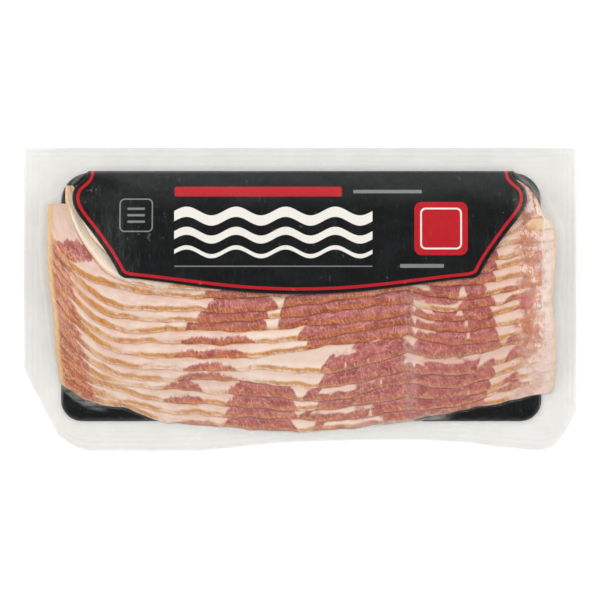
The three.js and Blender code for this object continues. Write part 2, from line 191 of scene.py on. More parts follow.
def even_line(n, x):
    """Upper edges, and the height of the stack, follow an even family of lines of one shape."""
    return line(LEVEL_LINE, x) + (LEVEL_LINE - n) * SLICE_PITCH


def slip(n, x):
    """How far slice n has slid up from its line: some near the bottom slid down and bare the one above."""
    def slid(first):
        return 0.0 if n < first else 1 - clamp((n - first) / (SLICE_COUNT - first)) ** 2

    slid_down = 8 * slid(12) * bell(x - 18, 36) + 5 * slid(13) * bell(x - 82, 26)
    slid_up = 2.6 * bell(n - 8.8, 1.4) * bell(x + 62, 34)
    return slid_up - slid_down


def lower_edge(n, x):
    """A slice's edge wavers about its line, and the last one, on the card, wavers less."""
    share = 0.4 if n == SLICE_COUNT else 1.0
    waver = share * (0.6 * np.sin(x / 21 + 1.7 * n) + 0.35 * np.sin(x / 9.5 + 2.9 * n))
    return line(n, x) + waver + slip(n, x)


FULL_END_TOP = 50.4
END_STAGGER = 2.2  # between one slice's end and the next one's
TUCKED_END_TOP = 60
CORNER_START = 105
CORNER_LENGTH = 31
CORNER_DROP = 48


def reach(n, x):
    """The highest that slice n may reach: its end at the left, the card's fold and a rounded corner."""
    end_top = FULL_END_TOP - END_STAGGER * (n - FULL_END_SLICE) if n > TUCKED_SLICES else TUCKED_END_TOP
    at_left = mix(end_top, UNDER_FOLD, smooth((x - MEAT_LEFT - 18) / 24))
    into = clamp((x - CORNER_START) / CORNER_LENGTH)
    return np.minimum(at_left, UNDER_FOLD - CORNER_DROP * (1 - np.sqrt(1 - into**2)))


def upper_edge(n, x):
    return np.minimum(even_line(n - OVERLAP, x), reach(n, x))


LEAST_WIDTH = 7  # a slice starts and stops where it is wide enough to hold together
END_SEARCH = 0.25


def slice_ends(n):
    """Where slice n starts and stops, as in the solids."""
    left = -124 + 5.5 * (TUCKED_SLICES - n)
    if n > TUCKED_SLICES:
        left = mix(MEAT_LEFT, -126.5, clamp((n - 10) / 7))
    right = MEAT_RIGHT - 5 * (clamp((n - 11) / 6) + clamp((4 - n) / 4))

    def too_narrow(x):
        return upper_edge(n, np.float64(x)) - lower_edge(n, np.float64(x)) < LEAST_WIDTH

    while too_narrow(left):
        left += END_SEARCH
    while too_narrow(right):
        right -= END_SEARCH
    return float(left), float(right)


# The pile's left and right ends, as pairs of y and x.
LEFT_OUTLINE = (
    (-57, -122), (-53.5, -124), (-45.6, -127.2), (-27, -129.3), (-7, -130.2), (7.4, -132), (20, -133),
    (28, -133), (50, -133),
)
RIGHT_OUTLINE = (
    (-53.5, 129.3), (-51, 132.3), (-46, 134.6), (-38, 135), (-22, 134.6), (-1, 132.4), (15.4, 134.2),
    (28.6, 135), (35.5, 134.1), (40.8, 132), (45.6, 127.7), (49.8, 126.1), (59.4, 122.4),
)

# ------ the height of the stack


def pressed(x):
    """How far the film presses the stack down at both ends."""
    from_left = smooth((x - MEAT_LEFT) / DROOP_LENGTH)
    from_right = smooth((MEAT_RIGHT - x) / DROOP_LENGTH)
    return (1 - END_DROOP * (1 - from_left)) * (1 - END_DROOP * (1 - from_right))


def creased(x):
    return 1 - sum(CREASE_DEPTH * bell(x - at, CREASE_WIDTH) for at in CREASES)


def underside(n, x, y):
    """A slice rests on those below it: all of them low down, and higher up those that reach under it."""
    line_at = LEVEL_LINE - (y - line(LEVEL_LINE, x)) / SLICE_PITCH
    layers = clamp(OVERLAP - (n - line_at), 0, SLICE_COUNT - n)
    return MEAT_FLOOR + LAYER * layers * pressed(x) * creased(x)


# ------ meshes


def make_mesh(name, points, faces, attributes=None):
    """A smooth mesh object from points in mm, with float or vector point attributes."""
    mesh = bpy.data.meshes.new(name)
    mesh.from_pydata((np.asarray(points) * MM).tolist(), [], faces)
    mesh.update()
    for key, values in (attributes or {}).items():
        values = np.asarray(values, dtype=np.float32)
        kind = "FLOAT" if values.ndim == 1 else "FLOAT_VECTOR"
        layer = mesh.attributes.new(key, kind, "POINT")
        layer.data.foreach_set("value" if kind == "FLOAT" else "vector", values.ravel())
    mesh.polygons.foreach_set("use_smooth", [True] * len(mesh.polygons))
    obj = bpy.data.objects.new(name, mesh)
    bpy.context.scene.collection.objects.link(obj)
    return obj


def grid_faces(rows, columns, offset, flip):
    i, j = np.meshgrid(np.arange(rows - 1), np.arange(columns - 1), indexing="ij")
    a = offset + i * columns + j
    quad = np.stack([a, a + columns, a + columns + 1, a + 1], axis=-1).reshape(-1, 4)
    return (quad[:, ::-1] if flip else quad).tolist()


def slab_faces(rows, columns):
    """Faces of a closed slab: a top grid, then an underside grid, then the walls between their rims."""
    offset = rows * columns
    faces = grid_faces(rows, columns, 0, False) + grid_faces(rows, columns, offset, True)
    rim = [i * columns for i in range(rows)]
    rim += [(rows - 1) * columns + j for j in range(1, columns)]
    rim += [i * columns + columns - 1 for i in range(rows - 2, -1, -1)]
    rim += list(range(columns - 2, 0, -1))
    return faces + [[offset + a, offset + b, b, a] for a, b in zip(rim, rim[1:] + rim[:1])]


def slab_points(top, under):
    return np.concatenate([top.reshape(-1, 3), under.reshape(-1, 3)])


def on_both(values):
    """One value for each point of a grid, given to the slab's top and to its underside."""
    return np.tile(values.ravel(), 2)


# ------ node graphs


class Value:
    """A socket of a material's graph. Sums and products of values make the nodes for them."""

    def __init__(self, graph, socket):
        self.graph = graph
        self.socket = socket

    def __add__(self, other):
        return self.graph.math("ADD", self, other)

    def __sub__(self, other):
        return self.graph.math("SUBTRACT", self, other)

    def __rsub__(self, other):
        return self.graph.math("SUBTRACT", other, self)

    def __mul__(self, other):
        return self.graph.math("MULTIPLY", self, other)

    def __abs__(self):
        return self.graph.math("ABSOLUTE", self)


class Graph:
    """A short way to write the nodes of a material or a world."""

    def __init__(self, owner, output="OutputMaterial"):
        owner.use_nodes = True
        self.owner, self.tree = owner, owner.node_tree
        self.tree.nodes.clear()
        self.output = self.tree.nodes.new(f"ShaderNode{output}")

    def put(self, socket, value):
        if isinstance(value, Value):
            self.tree.links.new(value.socket, socket)
        elif value is not None:
            socket.default_value = value

    def node(self, kind, inputs=None, output=0, **settings):
        """A new node's output. Inputs are given by name or number."""
        node = self.tree.nodes.new(f"ShaderNode{kind}")
        for key, value in settings.items():
            setattr(node, key, value)
        for key, value in (inputs or {}).items():
            self.put(node.inputs[key], value)
        return Value(self, node.outputs[output])

    def math(self, kind, a, b=None):
        return self.node("Math", {0: a, 1: b}, operation=kind)

    def highest(self, a, b):
        return self.math("MAXIMUM", a, b)

    def step(self, value, low, high, to_low=0.0, to_high=1.0):
        """Smooth step from to_low at low to to_high at high."""
        inputs = {"Value": value, "From Min": low, "From Max": high, "To Min": to_low, "To Max": to_high}
        return self.node("MapRange", inputs, interpolation_type="SMOOTHSTEP")

    def blend(self, factor, a, b):
        return self.node("Mix", {0: factor, 6: a, 7: b}, output=2, data_type="RGBA")

    def mix_value(self, factor, a, b):
        return self.node("Mix", {0: factor, 2: a, 3: b})

    def attribute(self, name, output="Fac"):
        return self.node("Attribute", output=output, attribute_name=name)

    def stretch(self, vector, scale, offset=(0, 0, 0)):
        return self.node("Mapping", {"Vector": vector, "Scale": scale, "Location": offset})

    def noise(self, vector, scale=1.0, offset=(0, 0, 0), detail=2.0, roughness=0.5, distortion=0.0):
        """Noise from 0 to 1. With a scale for each axis the vector is stretched first, and then moved."""
        if isinstance(scale, tuple):
            vector, scale = self.stretch(vector, scale, offset), 1.0
        inputs = {"Vector": vector, "Scale": scale, "Detail": detail}
        return self.node("TexNoise", {**inputs, "Roughness": roughness, "Distortion": distortion})

    def centred(self, noise, amount):
        """Noise moved to lie about 0, with a reach of about amount each way."""
        return (noise - 0.5) * (2 * amount)

    def near(self, value, centre, outer, inner):
        """1 within inner of the centre, falling to 0 at outer."""
        return self.step(abs(value - centre), outer, inner)

    def warp(self, vector, scale, amount):
        """The vector shifted about by noise, by up to about amount."""
        cloud = self.node("TexNoise", {"Vector": vector, "Scale": scale}, output="Color")
        inputs = {0: cloud, 1: (2 * amount,) * 3, 2: (-amount,) * 3}
        shift = self.node("VectorMath", inputs, operation="MULTIPLY_ADD")
        return self.node("VectorMath", {0: vector, 1: shift})

    def cell_wall(self, vector):
        """Distance to the nearest wall between cells."""
        inputs = {"Vector": vector, "Scale": 1.0}
        return self.node("TexVoronoi", inputs, output="Distance", feature="DISTANCE_TO_EDGE")

    def radius(self, x, y):
        return self.math("SQRT", x * x + y * y)

    def combine(self, x, y, z):
        return self.node("CombineXYZ", {0: x, 1: y, 2: z})

    def split(self, vector):
        node = self.tree.nodes.new("ShaderNodeSeparateXYZ")
        self.put(node.inputs[0], vector)
        return [Value(self, socket) for socket in node.outputs]

    def bump(self, height, strength, distance):
        return self.node("Bump", {"Strength": strength, "Distance": distance, "Height": height})

    def principled(self, **sockets):
        return self.node("BsdfPrincipled", {key.replace("_", " "): value for key, value in sockets.items()})

    def finish(self, shader):
        self.put(self.output.inputs["Surface"], shader)
        return self.owner


def srgb(r, g, b):
    """A linear RGBA colour from 8 bit sRGB."""
    c = np.array([r, g, b]) / 255
    linear = np.where(c <= 0.04045, c / 12.92, ((c + 0.055) / 1.055) ** 2.4)
    return (*linear.tolist(), 1.0)


# ------ the belly that the slices are cut from

# Muscles that run through several slices: first and last slice, left edge at each, right edge at each,
# and from where to where across the slice, from its browned edge.
MUSCLES = (
    (7, 17, -150, -150, -120, -107, 0, 9),  # column at the left ends
    (6, 7, -50, -49, -9, -11.5, 0, 12),
    (8, 9, -54.5, -60, -16.5, -17, 0, 12),
    (14, 17, -38.5, -40, -1, -1, 0, 9),
    (1, 7, -7, -9, 60, 60, 0, 14),
    (8, 9, -11, -12, 60, 60, 0, 14),
    (10, 11, -1.5, 3, 60, 60, 0, 12),
    (12, 13, 10.5, 9.5, 60, 60, 0, 12),
    (14, 15, 1, 8, 66, 66, 0, 8.5),
    (16, 17, -1, 6, 66, 66, 0, 7.5),
    (14, 17, 36, 36, 70, 70, 0, 12),
    (1, 6, 58, 62, 106, 103, 0, 12),
    (9, 11, 60, 61, 101.5, 105, 0, 12),
    (12, 13, 58, 60, 106, 103, 0, 12),
    (14, 17, 61, 58, 103, 98, 0, 12),
    (7, 8, 104.5, 106, 115, 117, 0, 4.5),
    (5, 7, 117, 120, 124, 128, 0.5, 9),
    (2, 3, 116, 118, 124, 127, 1.5, 9),
    (12, 13, 108, 108, 118, 119, 0, 9),
    (15, 16, 106, 104, 122, 122, 0, 5),
)

# Lean in only one slice, and seams of fat: slice, left and right edge, and from where to where across.
ISLANDS = (
    (7, 59, 100.5, 0, 9), (8, 58, 84, 3.4, 12), (8, 82, 103, 0, 9), (9, 112, 119, 0, 4),
    (10, -62.5, -23, 0, 3.4), (11, -67, -28, 0, 4), (12, -62, -33, 0, 4.2), (13, -65, -31, 0, 3.6),
    (14, -72, -50, 0, 5.2), (15, -72, -48, 0, 4.6), (17, -64, -44, 0, 2),
)
SEAMS = (
    (7, 57, 68.5, 2.6, 9), (7, 83.6, 87, 1.8, 9), (7, 97.5, 106, 2.4, 9),
    (9, 82, 85.5, 3, 9), (9, 57, 70, 3.6, 9), (10, 58, 71, 3.8, 9), (10, 85.6, 88.8, 2, 9),
    (11, 60, 72, 4, 9), (11, 87, 90, 2.4, 9), (11, 41.2, 42.6, 0.5, 9),
    (12, 18, 30, 8, 12), (12, 23.2, 24.6, 1.5, 9), (12, 35, 36.8, 0.5, 7),
    (13, 55, 66, 4.4, 8.4), (13, 64, 86, 6.6, 8.8), (13, 84, 96, 7.2, 10), (13, 94, 108, 3.2, 9),
    (14, 10, 30, 4.2, 7.4), (14, 26, 44, 5.6, 8.4), (14, 42, 43.4, 0.5, 9), (15, 88.2, 90, 0, 9),
    (16, 6, 40, 4.4, 7), (16, 36, 38.4, 0.5, 9), (17, 12, 44, 1.6, 5.4),
)


def in_one_slice(entries):
    return tuple((n, n, left, left, right, right, near, far) for n, left, right, near, far in entries)


LEAN = MUSCLES + in_one_slice(ISLANDS)
FAT = in_one_slice(SEAMS)
LEAN_ROUNDING, FAT_ROUNDING = 9.0, 3.0
OVAL_CENTRE = (-118.5, 25.2)  # of the lean on the one end that shows whole
OVAL_LENGTH, OVAL_WIDTH = 12.0, 4.9  # half of each
OVAL_COSINE, OVAL_SINE = 0.97, 0.24  # of its slant


def band(entry, n, x, s, rounding):
    """How far inside one muscle or seam a point lies, negative outside, at s from the browned edge."""
    first, last, left0, left1, right0, right1, near, far = entry
    if n < first or n > last:
        return np.full(x.shape, -20.0)
    t = 0.0 if last == first else (n - first) / (last - first)
    along = np.minimum(x - mix(left0, left1, t), mix(right0, right1, t) - x)
    far = near + (far - near) * np.sqrt(clamp(along / rounding))
    past_near = s - near + (2.0 if near <= 0 else 0.0)
    return np.minimum(along, np.minimum(past_near, far - s))


def full_end_muscle(x, y):
    """The slanting oval of lean on the one end that shows whole."""
    dx, dy = x - OVAL_CENTRE[0], y - OVAL_CENTRE[1]
    along = dx * OVAL_COSINE - dy * OVAL_SINE
    across = dx * OVAL_SINE + dy * OVAL_COSINE
    return np.minimum(OVAL_LENGTH - np.abs(along), OVAL_WIDTH - np.abs(across) - 0.02 * along**2)


def lean_depth(n, x, y, s):
    """How far inside the lean a point lies, negative in the fat."""
    lean = np.max([band(entry, n, x, s, LEAN_ROUNDING) for entry in LEAN], axis=0)
    if n == FULL_END_SLICE:
        lean = np.maximum(lean, full_end_muscle(x, y))
    fat = np.max([band(entry, n, x, s, FAT_ROUNDING) for entry in FAT], axis=0)
    return np.minimum(lean, -fat)


# ------ slices

# Where a slice's points lie across it, from its browned edge.
ACROSS = np.array([
    0, 0.2, 0.5, 0.9, 1.35, 1.85, 2.4, 3.0, 3.7, 4.5, 5.3, 6.2, 7.4, 9.0, 11.5, 15, 19, 24, 29.5, 35.7,
])
UNCOVERED = 99  # slice 1 is bare all across
BELLY_PITCH = 2.6  # how much deeper in the belly each slice was cut


def ripple(x, y):
    """A slow unevenness of the whole pile."""
    slow = 0.22 * np.sin(x / 13 + y / 19) + 0.15 * np.sin(x / 7.3 - y / 11 + 1.3)
    return slow + 0.08 * np.sin(x / 3.7 + y / 5 + 0.4)


def pressed_edge(n, x):
    """Slice n's lower edge as it looks, with a fine wobble."""
    phase = 2.1 * n
    wobble = 0.3 * np.sin(x / 4.1 + phase) + 0.2 * np.sin(x / 2.3 + 1.7 * phase)
    return lower_edge(n, x) + (wobble + 0.1 * np.sin(x / 1.4 + phase))


def slice_thickness(n, x, s):
    """Thickness at s mm from the browned edge: pressed thin there, and ironed by the film at both ends."""
    rise = np.sin(np.pi / 2 * clamp(s / EDGE_WIDTH)) ** 0.9
    swell = 0.12 * np.sin(x / 5.3 + 1.9 * n) + 0.1 * np.sin(x / 2.9 + 3.1 * n + s / 3)
    full = mix(EDGE_THICKNESS, SLICE_THICKNESS, rise) + swell * clamp(s / 2.5)
    even = np.minimum(LAYER, LAYER * s / SLICE_PITCH + EDGE_SETTLE)
    ironed = 0.96 * smooth((x - IRONED_RIGHT) / IRONING_LENGTH)
    ironed = ironed + 0.5 * smooth((IRONED_LEFT - x) / IRONING_LENGTH)
    return mix(full, even, ironed) * pressed(x)


def build_slice(n):
    left, right = slice_ends(n)
    xs = np.linspace(left, right, int((right - left) / SLICE_STEP) + 1)
    low = pressed_edge(n, xs)
    covered = pressed_edge(n - 1, xs) if n > 1 else low + UNCOVERED
    width = upper_edge(n, xs) - low
    steps = np.arange(len(ACROSS)) / (len(ACROSS) - 1)
    s = np.minimum(ACROSS[None, :], width[:, None] * steps[None, :])
    s[:, -1] = width
    x = np.repeat(xs[:, None], len(ACROSS), axis=1)
    y = low[:, None] + s
    end = np.minimum(x - left, right - x)
    bottom = underside(n, x, y) + ripple(x, y) * clamp(end / 6)
    bottom = bottom - EDGE_SETTLE * (1 - smooth(s / 4))
    if n >= FULL_END_SLICE:
        x = x + (follow(LEFT_OUTLINE, y) - left) * smooth((left + END_BEND - x) / END_BEND)
    x = x + (follow(RIGHT_OUTLINE, y) - right) * smooth((x - right + END_BEND) / END_BEND)
    thick = slice_thickness(n, x, s) * np.sqrt(clamp(end / 1.6 + 0.08))
    points = slab_points(np.stack([x, y, bottom + thick], axis=-1), np.stack([x, y, bottom], axis=-1))
    belly = np.stack([x, s, np.full_like(x, BELLY_PITCH * n)], axis=-1)
    attributes = {
        "belly": slab_points(belly, belly),
        "bared": on_both(covered[:, None] - y),
        "lean": on_both(lean_depth(n, x, y, s)),
        "left_end": on_both(np.broadcast_to(xs[:, None] - left, s.shape)),
        "right_end": on_both(np.broadcast_to(right - xs[:, None], s.shape)),
    }
    piece = make_mesh(f"bacon_{n:02d}", points, slab_faces(*x.shape), attributes)
    piece.data.materials.append(BACON)
    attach(piece, "root")
    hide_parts(f"bacon_slice_{n:02d}")
    return piece


# ------ the bacon's look

# Where the look changes along a slice: from where to where each change runs.
TO_LEFT_COLUMN = (-88, -98)  # into the ragged column of lean
TO_SMOKED_END = (-82, -108)  # into the left end, which is smoked all over
TO_TUCKED_FACE = (-80, -92)  # into the faces beside the label, which are cream and also painted lighter to cancel the label's shadow
TO_PINK_FAT = (38, 60)
TO_RIGHT_HALF = (50, 64)  # over the first crease
TO_RUMPLED = (112, 118)  # over the second crease, into the rumpled end
TO_LINES = (127, 118)  # out of that end, to where the golden lines run
MIDDLE_FAT = (5, 48, 24)  # the palest fat's middle, and its outer and inner reach

# And how deep in the belly, where slice n lies at n times BELLY_PITCH.
BELOW_FULL_END = (16.5, 17.5)
TUCKED_DEPTH = (14.3, 13.5)
UPPER_TUCKED_DEPTH = (11.8, 11.0)

# Marks on the right end, as x and y.
TORN_FOLD, TORN_FOLD_SLANT = (122.6, 55.0), 0.13
GOLD_SPOT = (125.2, 39.6)
LEAN_KNOT = (119.4, -0.4)


def bacon_place(g):
    """Where a point lies, and the unevenness that several parts of the look share."""
    at = SimpleNamespace(belly=g.attribute("belly", "Vector"))
    at.plan = g.node("TexCoord", output="Object")  # in metres
    at.along, at.across, at.deep = g.split(at.belly)
    _, at.plan_y, _ = g.split(at.plan)
    at.lean, at.bared = g.attribute("lean"), g.attribute("bared")
    at.left_end, at.right_end = g.attribute("left_end"), g.attribute("right_end")
    at.shift = g.centred(g.noise(at.plan, (130, 190, 0), (7, 2, 0), detail=4, roughness=0.6), 11)
    at.rumpled = g.step(at.along + at.shift, *TO_RUMPLED)
    at.by_left = g.step(at.along, *TO_SMOKED_END)
    at.tucked = g.step(at.deep, *TUCKED_DEPTH) * g.step(at.along, *TO_TUCKED_FACE)
    at.tone = g.noise(at.belly, (0.16, 0.3, 0.25), (2, 7, 1), detail=4, roughness=0.6)
    at.patches = g.noise(at.belly, (0.2, 0.3, 0.5), (6, 8, 3), detail=3)
    at.hatch = g.noise(g.combine(at.along + at.across * 0.55, at.across * 0.15, at.deep), detail=2.5)
    at.ragged = g.centred(at.hatch, 0.9) + g.centred(g.noise(at.belly, (0.35, 0.4, 0.9), detail=3), 0.7)
    return at


def find_lean(g, at):
    """Lean and fat, with a ragged border combed across the slice."""
    comb = g.centred(g.noise(at.belly, (0.85, 0.14, 0.3), detail=3, roughness=0.6), 2.4)
    comb = comb * g.step(at.along, -20, 0, 1, 0.22)
    torn = g.centred(g.noise(at.belly, (0.12, 0.9, 0.9), (3, 1, 1), detail=3, roughness=0.6), 9)
    comb = comb + torn * g.step(at.along, *TO_LEFT_COLUMN) * g.step(at.deep, *BELOW_FULL_END)
    lumps = g.centred(g.noise(at.belly, (0.11, 0.14, 0.11), detail=3), 3.2)
    is_lean = g.step(at.lean + comb + lumps, -1, 0.8)

    # The right end is rumpled: patches of lean in a sheet of fat, and all fat at the rind.
    stray = g.noise(at.plan, (115, 130, 0), (1, 3, 4), detail=2.5, distortion=0.8)
    stray = g.step(stray, 0.43, 0.58, 0, 0.8) * g.step(at.plan_y, -0.034, -0.018, 0.45, 1)
    at.is_lean = g.mix_value(at.rumpled, is_lean, stray) * g.step(at.right_end + at.shift, 3.5, 8)

    # Fibres: pale walls between the bundles of the lean.
    slanted = g.combine(at.along * 0.5 + at.across * 0.16, at.across * 0.2, at.deep * 0.7)
    drift = g.noise(at.belly, (0.3, 0.45, 0.3), (5, 1, 8), detail=4, roughness=0.62)
    at.walls = g.step(g.cell_wall(slanted), 0.09, 0) * g.step(drift, 0.38, 0.58, 0.1, 1)
    at.marbling = g.highest(at.walls, g.near(drift, 0.5, 0.02, 0) * 0.6)


def flesh(g, at):
    """The cut face: marbled lean, and fat that is pale in the middle and pinker to the right, with painted
    shade under the slice above and painted light beside the label.
    """
    lean = g.blend(g.step(at.tone, 0.3, 0.7), srgb(152, 66, 66), srgb(194, 112, 103))
    lean = g.blend(at.marbling * g.step(at.along, *TO_RIGHT_HALF, 0.66, 0.5), lean, srgb(232, 182, 168))
    fat = g.blend(g.step(at.tone, 0.32, 0.68), srgb(229, 198, 179), srgb(240, 219, 205))
    blush = g.step(g.noise(at.belly, (0.06, 0.25, 0.16), (4, 4, 9)), 0.45, 0.7)
    for amount, tint in (
        (blush * 0.4, srgb(228, 178, 162)),
        (g.step(at.along, *TO_PINK_FAT, 0, 0.4), srgb(224, 180, 164)),
        (at.rumpled * 0.6, srgb(242, 216, 204)),
        (g.near(at.along, *MIDDLE_FAT) * 0.5, srgb(247, 228, 212)),
        # painted shade: the fat is darker and pinker near the top of each strip, where the slice above
        # shades it
        (g.step(at.across, 3.5, 6.5) * 0.25, srgb(218, 172, 156)),
        # painted light: the faces beside the label are lifted to bright cream to cancel the label's shadow
        (at.tucked * 0.9, srgb(255, 236, 214)),
    ):
        fat = g.blend(amount, fat, tint)
    return g.blend(at.is_lean, fat, lean)


def smoked(g, at, surface):
    """The smoked outside of the belly along each pressed edge: golden over fat and rusty over lean."""
    from_edge = at.across + at.ragged
    lines = g.step(at.along + at.shift, *TO_LINES)
    strength = g.noise(at.belly, (0.05, 0.12, 0.6), (7, 5, 2), detail=3, roughness=0.6)
    strong = g.step(strength, 0.32, 0.54)
    width = (at.by_left * 1.1 + 2.3 + strong * 0.9) * (1 - at.tucked * 0.55)
    over_fat = g.step(from_edge - width, 0, -1.3) * g.step(from_edge, 0.1, 0.9)
    over_fat = over_fat * g.highest(g.mix_value(strong, 0.35, 1), at.by_left * 0.9) * lines
    over_fat = over_fat * (1 - at.tucked * g.step(at.deep, *UPPER_TUCKED_DEPTH, 0.35, 1))
    over_lean = g.step(from_edge - g.step(at.left_end, 20, 7, 0, 4.5), 3.6, 1.4)
    golden = g.blend(strong, srgb(230, 186, 126), srgb(211, 148, 76))
    golden = g.blend(g.step(at.hatch, 0.46, 0.66), golden, srgb(186, 116, 58))
    rusty = g.blend(g.step(at.tone, 0.35, 0.65), srgb(156, 68, 32), srgb(196, 108, 58))
    fibres = g.highest(at.walls, g.step(at.hatch, 0.56, 0.68))
    rusty = g.blend(fibres * 0.7, rusty, srgb(226, 166, 96))
    surface = g.blend(over_fat * (1 - at.is_lean), surface, golden)
    surface = g.blend(over_lean * at.is_lean * g.step(at.along, *TO_RIGHT_HALF, 0.9, 0.7), surface, rusty)

    # Pale lines cross the lean in the left column.
    cells = g.cell_wall(g.combine(at.along * 0.62, at.across * 0.5, at.deep * 0.8))
    crossed = g.step(cells, 0.13, 0.02) * g.step(at.patches, 0.38, 0.6, 0.1, 0.6)
    crossed = crossed * (at.by_left * g.step(at.across, 12, 8))
    surface = g.blend(crossed * at.is_lean, surface, srgb(230, 182, 142))

    # The edge itself is dark, and a painted shadow darkens the slice below, just under the edge.
    patchy = g.noise(at.belly, (0.09, 0.3, 0.6), (1, 8, 2), detail=3)
    edge = g.step(at.across, 0.55, 0.15) * g.step(patchy, 0.42, 0.62, 0.12, 0.8)
    surface = g.blend(edge, surface, g.blend(at.is_lean, srgb(170, 104, 58), srgb(120, 44, 32)))
    # painted shadow: the slice is browner and darker where the edge above it shades it
    painted_edge_shadow = g.step(at.bared + g.centred(at.hatch, 0.5), 1, 0) * g.step(patchy, 0.35, 0.6, 0.35, 0.9)
    return g.blend(painted_edge_shadow * lines, surface, g.blend(at.is_lean, srgb(206, 146, 90), srgb(140, 62, 44)))


def end_marks(g, at, surface):
    """Folds, a golden spot and a knot of lean on the right end, and pale gold rind at both ends."""
    folds = g.noise(at.plan, (300, 150, 0), (2, 1, 6), detail=2, distortion=1.6)
    vein = g.near(folds, 0.5, 0.07, 0.03) * g.step(at.plan_y, -0.038, -0.03)
    vein = vein * g.step(at.right_end + at.shift, 5, 9)
    surface = g.blend(vein * at.rumpled * 0.85, surface, srgb(204, 120, 62))

    x, y, _ = g.split(g.warp(g.stretch(at.plan, (1 / MM,) * 3), 0.35, 3))
    tear_x, tear_top = TORN_FOLD
    tear = g.step(abs(x - ((tear_top - y) * TORN_FOLD_SLANT + tear_x)), 0.8, 0.2)
    tear = tear * (g.step(y, 43, 44.5) * g.step(y, 56, 54))
    surface = g.blend(tear * 0.85, surface, srgb(158, 84, 46))
    gold = g.step(g.radius(x - GOLD_SPOT[0], (y - GOLD_SPOT[1]) * 1.15), 5.4, 3.2)
    surface = g.blend(gold * 0.75, surface, srgb(232, 188, 118))
    knot = g.step(g.radius(x - LEAN_KNOT[0], (y - LEAN_KNOT[1]) * 1.1), 5, 4.2)
    knot_colour = g.blend(at.marbling * 0.5, srgb(196, 104, 98), srgb(226, 160, 148))
    surface = g.blend(knot * 0.8, surface, knot_colour)

    right_rind = g.step(at.right_end + at.ragged, 2.2, 0.8) * g.step(at.patches, 0.36, 0.56, 0.3, 1)
    rind = g.highest(g.step(at.left_end + at.ragged * 1.4, 3.6, 1.6), right_rind)
    return g.blend(rind * 0.85, surface, srgb(226, 184, 132))


def bacon_material():
    """Raw bacon: lean and fat with a smoked edge, under a wet coat."""
    g = Graph(bpy.data.materials.new("raw_bacon"))
    at = bacon_place(g)
    find_lean(g, at)
    surface = end_marks(g, at, smoked(g, at, flesh(g, at)))
    # painted glints: small pale spots stand in for highlights on the wet meat
    painted_glints = g.step(g.noise(at.belly, (2.6, 1.7, 1.9), (6, 2, 5)), 0.66, 0.74)
    surface = g.blend(painted_glints * 0.5, surface, srgb(246, 226, 214))
    grain = g.noise(at.belly, (2.2, 1.1, 1), detail=4, roughness=0.65)
    wet = g.noise(at.belly, (0.7, 0.7, 0.7), (3, 9, 5), detail=5, roughness=0.6)
    return g.finish(g.principled(
        Base_Color=surface,
        Roughness=g.step(wet, 0.3, 0.7, 0.4, 0.6),
        Normal=g.bump(grain * 0.5 + (at.marbling * 0.25 + at.hatch * 0.4), 0.5, 0.0006),
        Coat_Weight=0.6,
        Coat_Roughness=0.1,
        Coat_Normal=g.bump(wet, 0.4, 0.0009),
        Subsurface_Weight=0.08,
        Subsurface_Radius=(0.003, 0.0012, 0.0008),
        Subsurface_Scale=0.5,
    ))


# ------ printed card

# The flap's outline: half widths from its middle line, and heights.
FLAP_MIDDLE = -0.3
FLAP_HALF_AT_FOLD = 112
FLAP_HALF = 119.6
FLAP_LOW_HALF = 92
SHOULDER_Y = 53.5
LOW_CORNER_Y = 10.6
LOW_MIDDLE_Y = 2.4
LOW_EDGE_HALF, LOW_EDGE_Y = FLAP_LOW_HALF - 4, LOW_CORNER_Y - 0.4  # where the low edge leaves its corner
LOW_EDGE_POINTS = 60

FLAP_RISE = 29  # over which it rises from the fold to the pile's top
FLAP_REST = 2.2
FLAP_SETTLE = 3.4  # how far its left end is pressed down on to the few slices there
FOLD_BULGE = 0.35
PLATEAU = MEAT_FLOOR + LAYER * (OVERLAP - 1) + SOLID_SLICE + FLAP_REST
FOLD_UNDERSIDE = CARD_FLOOR + SPINE_HEIGHT


def bezier(a, b, c, d, count=24):
    t = np.linspace(0, 1, count, endpoint=False)[:, None]
    a, b, c, d = (np.array(p, dtype=float) for p in (a, b, c, d))
    return a * (1 - t) ** 3 + 3 * b * t * (1 - t) ** 2 + 3 * c * t**2 * (1 - t) + d * t**3


def flap_side():
    """Half of the flap's outline as distances from its middle line, from the fold to the low middle."""
    corner = [(FLAP_LOW_HALF + 3, 13.5), (FLAP_LOW_HALF + 1, LOW_CORNER_Y), (LOW_EDGE_HALF, LOW_EDGE_Y)]
    control = [tuple(mix(np.array(corner[1]), np.array(corner[k]), 1 / 3)) for k in (0, 2)]
    return np.concatenate([
        bezier((FLAP_HALF_AT_FOLD, CARD_TOP), (111, 62), (FLAP_HALF, 62), (FLAP_HALF, SHOULDER_Y)),
        bezier((FLAP_HALF, SHOULDER_Y), (FLAP_HALF, 46), (112, 40), (106, 31)),
        bezier((106, 31), (101, 24), (98, 20), corner[0]),
        bezier(corner[0], control[0], control[1], corner[2], 8),
        bezier(corner[2], (60, 7.5), (36, LOW_MIDDLE_Y), (0, LOW_MIDDLE_Y), LOW_EDGE_POINTS),
        [(0.0, LOW_MIDDLE_Y)],
    ])


def flap_underside(x, y):
    down = clamp((CARD_TOP - y) / FLAP_RISE)
    rise = (PLATEAU - FOLD_UNDERSIDE) * (1 - (1 - down) ** 1.7)
    ends = smooth((x - MEAT_LEFT) / DROOP_LENGTH) * smooth((MEAT_RIGHT - x) / DROOP_LENGTH)
    settle = FLAP_SETTLE * smooth((-84 - x) / 30) * smooth((CARD_TOP - y) / 14)
    return FOLD_UNDERSIDE + rise * (1 - 0.25 * (1 - ends)) - settle


def flap_sag(x, y):
    """A slow unevenness of the flap, which fades towards the fold."""
    sag = 0.16 * np.sin(x / 17 + 0.8) * np.sin(y / 9) + 0.1 * np.sin(x / 7 + y / 4)
    return sag * clamp((CARD_TOP - y) / 8)


